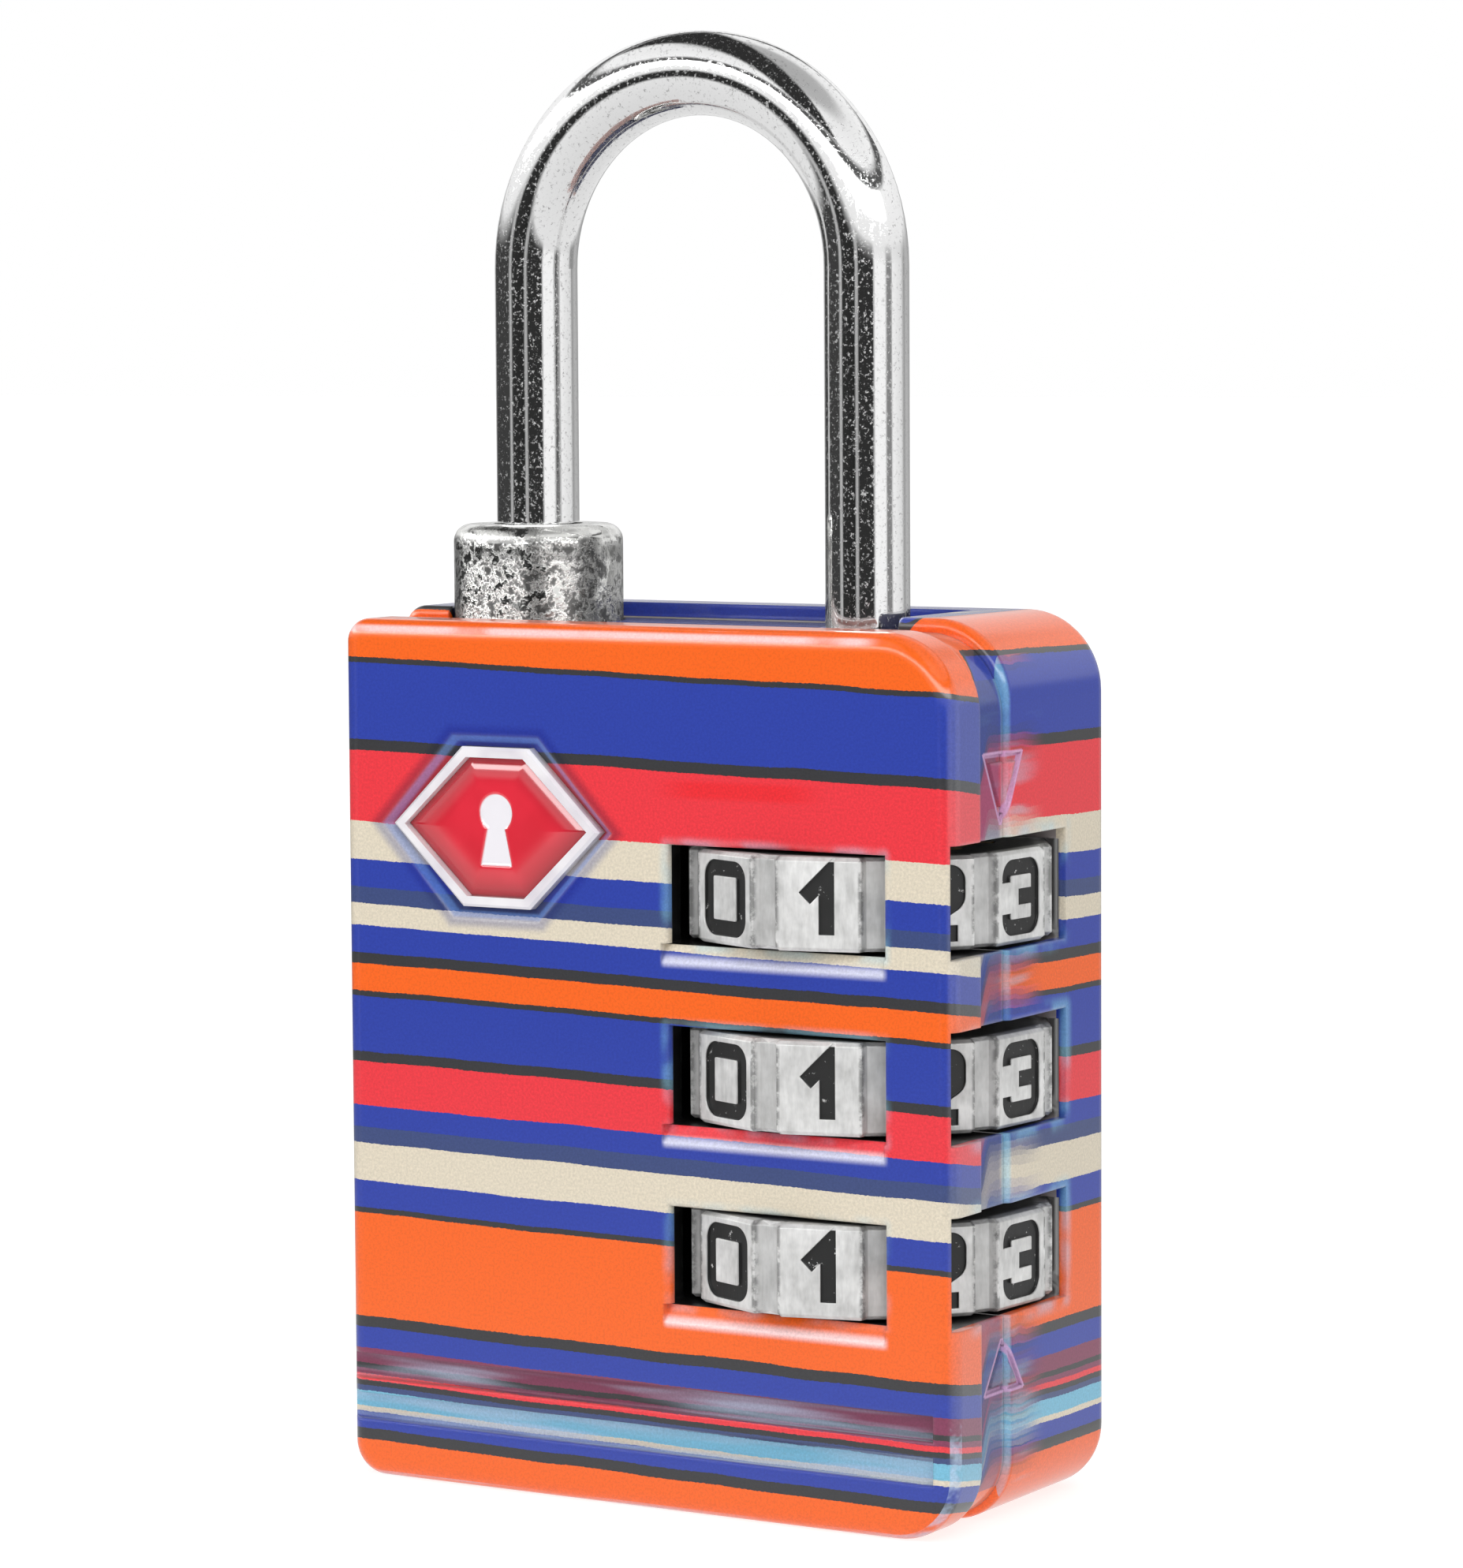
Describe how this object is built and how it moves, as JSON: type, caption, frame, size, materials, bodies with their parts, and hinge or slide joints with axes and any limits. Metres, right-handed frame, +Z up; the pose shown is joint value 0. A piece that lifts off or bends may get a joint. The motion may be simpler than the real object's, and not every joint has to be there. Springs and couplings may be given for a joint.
{
  "type": "combination padlock",
  "caption": "Small luggage padlock with number dials down one edge, a chromed shackle and an inspection-key override under a collar.",
  "frame": {"origin": "middle of the flat bottom face of the lock body", "axes": "+X to the dial side with the front in view, +Y out of the rear, +Z up through the shackle"},
  "size_m": [0.03, 0.0156, 0.0625],
  "materials": {
    "print_paint": "gloss stripes",
    "print_paint_rear": "gloss stripes",
    "stud_steel": "turned",
    "shackle_chrome": "polished",
    "bushing_brass": "turned",
    "seat_steel": "turned",
    "spring_steel": "drawn wire",
    "dial_metal": "satin cast",
    "hub_brass": "turned",
    "spacer_steel": "stamped",
    "collar_plating": "dull plating",
    "cam_steel": "turned",
    "plug_brass": "turned",
    "wafer_brass": "stamped",
    "sleeve_brass": "turned",
    "badge_plating": "gloss",
    "badge_enamel": "domed"
  },
  "bodies": {
    "housing": {"front_housing": "print_paint", "rear_housing": "print_paint_rear", "housing_studs": "stud_steel", "heel_bushing": "bushing_brass", "lift_spring": "spring_steel", "reset_spring": "spring_steel", "hub_spacer_upper": "spacer_steel", "hub_spacer_lower": "spacer_steel", "detent_leaf": "spring_steel", "collar_spring": "spring_steel", "plug_sleeve": "sleeve_brass", "plug_stop_pin": "stud_steel", "plug_washer": "spacer_steel", "badge_rim": "badge_plating", "badge_insert": "badge_enamel"},
    "lift_carrier": {"spring_seat": "seat_steel"},
    "shackle_body": {"shackle": "shackle_chrome"},
    "dial_top_body": {"dial_ring_top": "dial_metal", "dial_hub_top": "hub_brass"},
    "dial_middle_body": {"dial_ring_middle": "dial_metal", "dial_hub_middle": "hub_brass"},
    "dial_bottom_body": {"dial_ring_bottom": "dial_metal", "dial_hub_bottom": "hub_brass"},
    "key_body": {"key_plug": "plug_brass", "plug_wafers": "wafer_brass", "lift_cam": "cam_steel"},
    "collar_body": {"toe_collar": "collar_plating", "collar_pin": "stud_steel"}
  },
  "joints": [
    {"name": "shackle_lift", "type": "slide", "parent": "housing", "child": "lift_carrier", "axis": [0, 0, 1], "range_m": [0, 0.0056], "deforming": ["lift_spring"]},
    {"name": "shackle_swing", "type": "hinge", "parent": "lift_carrier", "child": "shackle_body", "pos_m": [0.0072, 0, 0.05], "axis": [0, 0, 1], "continuous": true},
    {"name": "key_plug_turn", "type": "hinge", "parent": "housing", "child": "key_body", "pos_m": [-0.0093, 0, 0.01], "axis": [0, 0, 1], "range_deg": [0, 90]},
    {"name": "collar_drop", "type": "slide", "parent": "housing", "child": "collar_body", "axis": [0, 0, -1], "range_m": [0, 0.004], "stiffness_N_per_m": 20, "springref_m": -0.004, "deforming": ["collar_spring"]},
    {"name": "dial_top_spin", "type": "hinge", "parent": "housing", "child": "dial_top_body", "pos_m": [0.0072, 0, 0.02625], "axis": [0, 0, 1], "continuous": true},
    {"name": "dial_middle_spin", "type": "hinge", "parent": "housing", "child": "dial_middle_body", "pos_m": [0.0072, 0, 0.01862], "axis": [0, 0, 1], "continuous": true},
    {"name": "dial_bottom_spin", "type": "hinge", "parent": "housing", "child": "dial_bottom_body", "pos_m": [0.0072, 0, 0.01099], "axis": [0, 0, 1], "continuous": true}
  ],
  "couplings": [
    {"joint": "key_plug_turn", "follows": "collar_drop", "rad_per_m": 392.7}
  ]
}
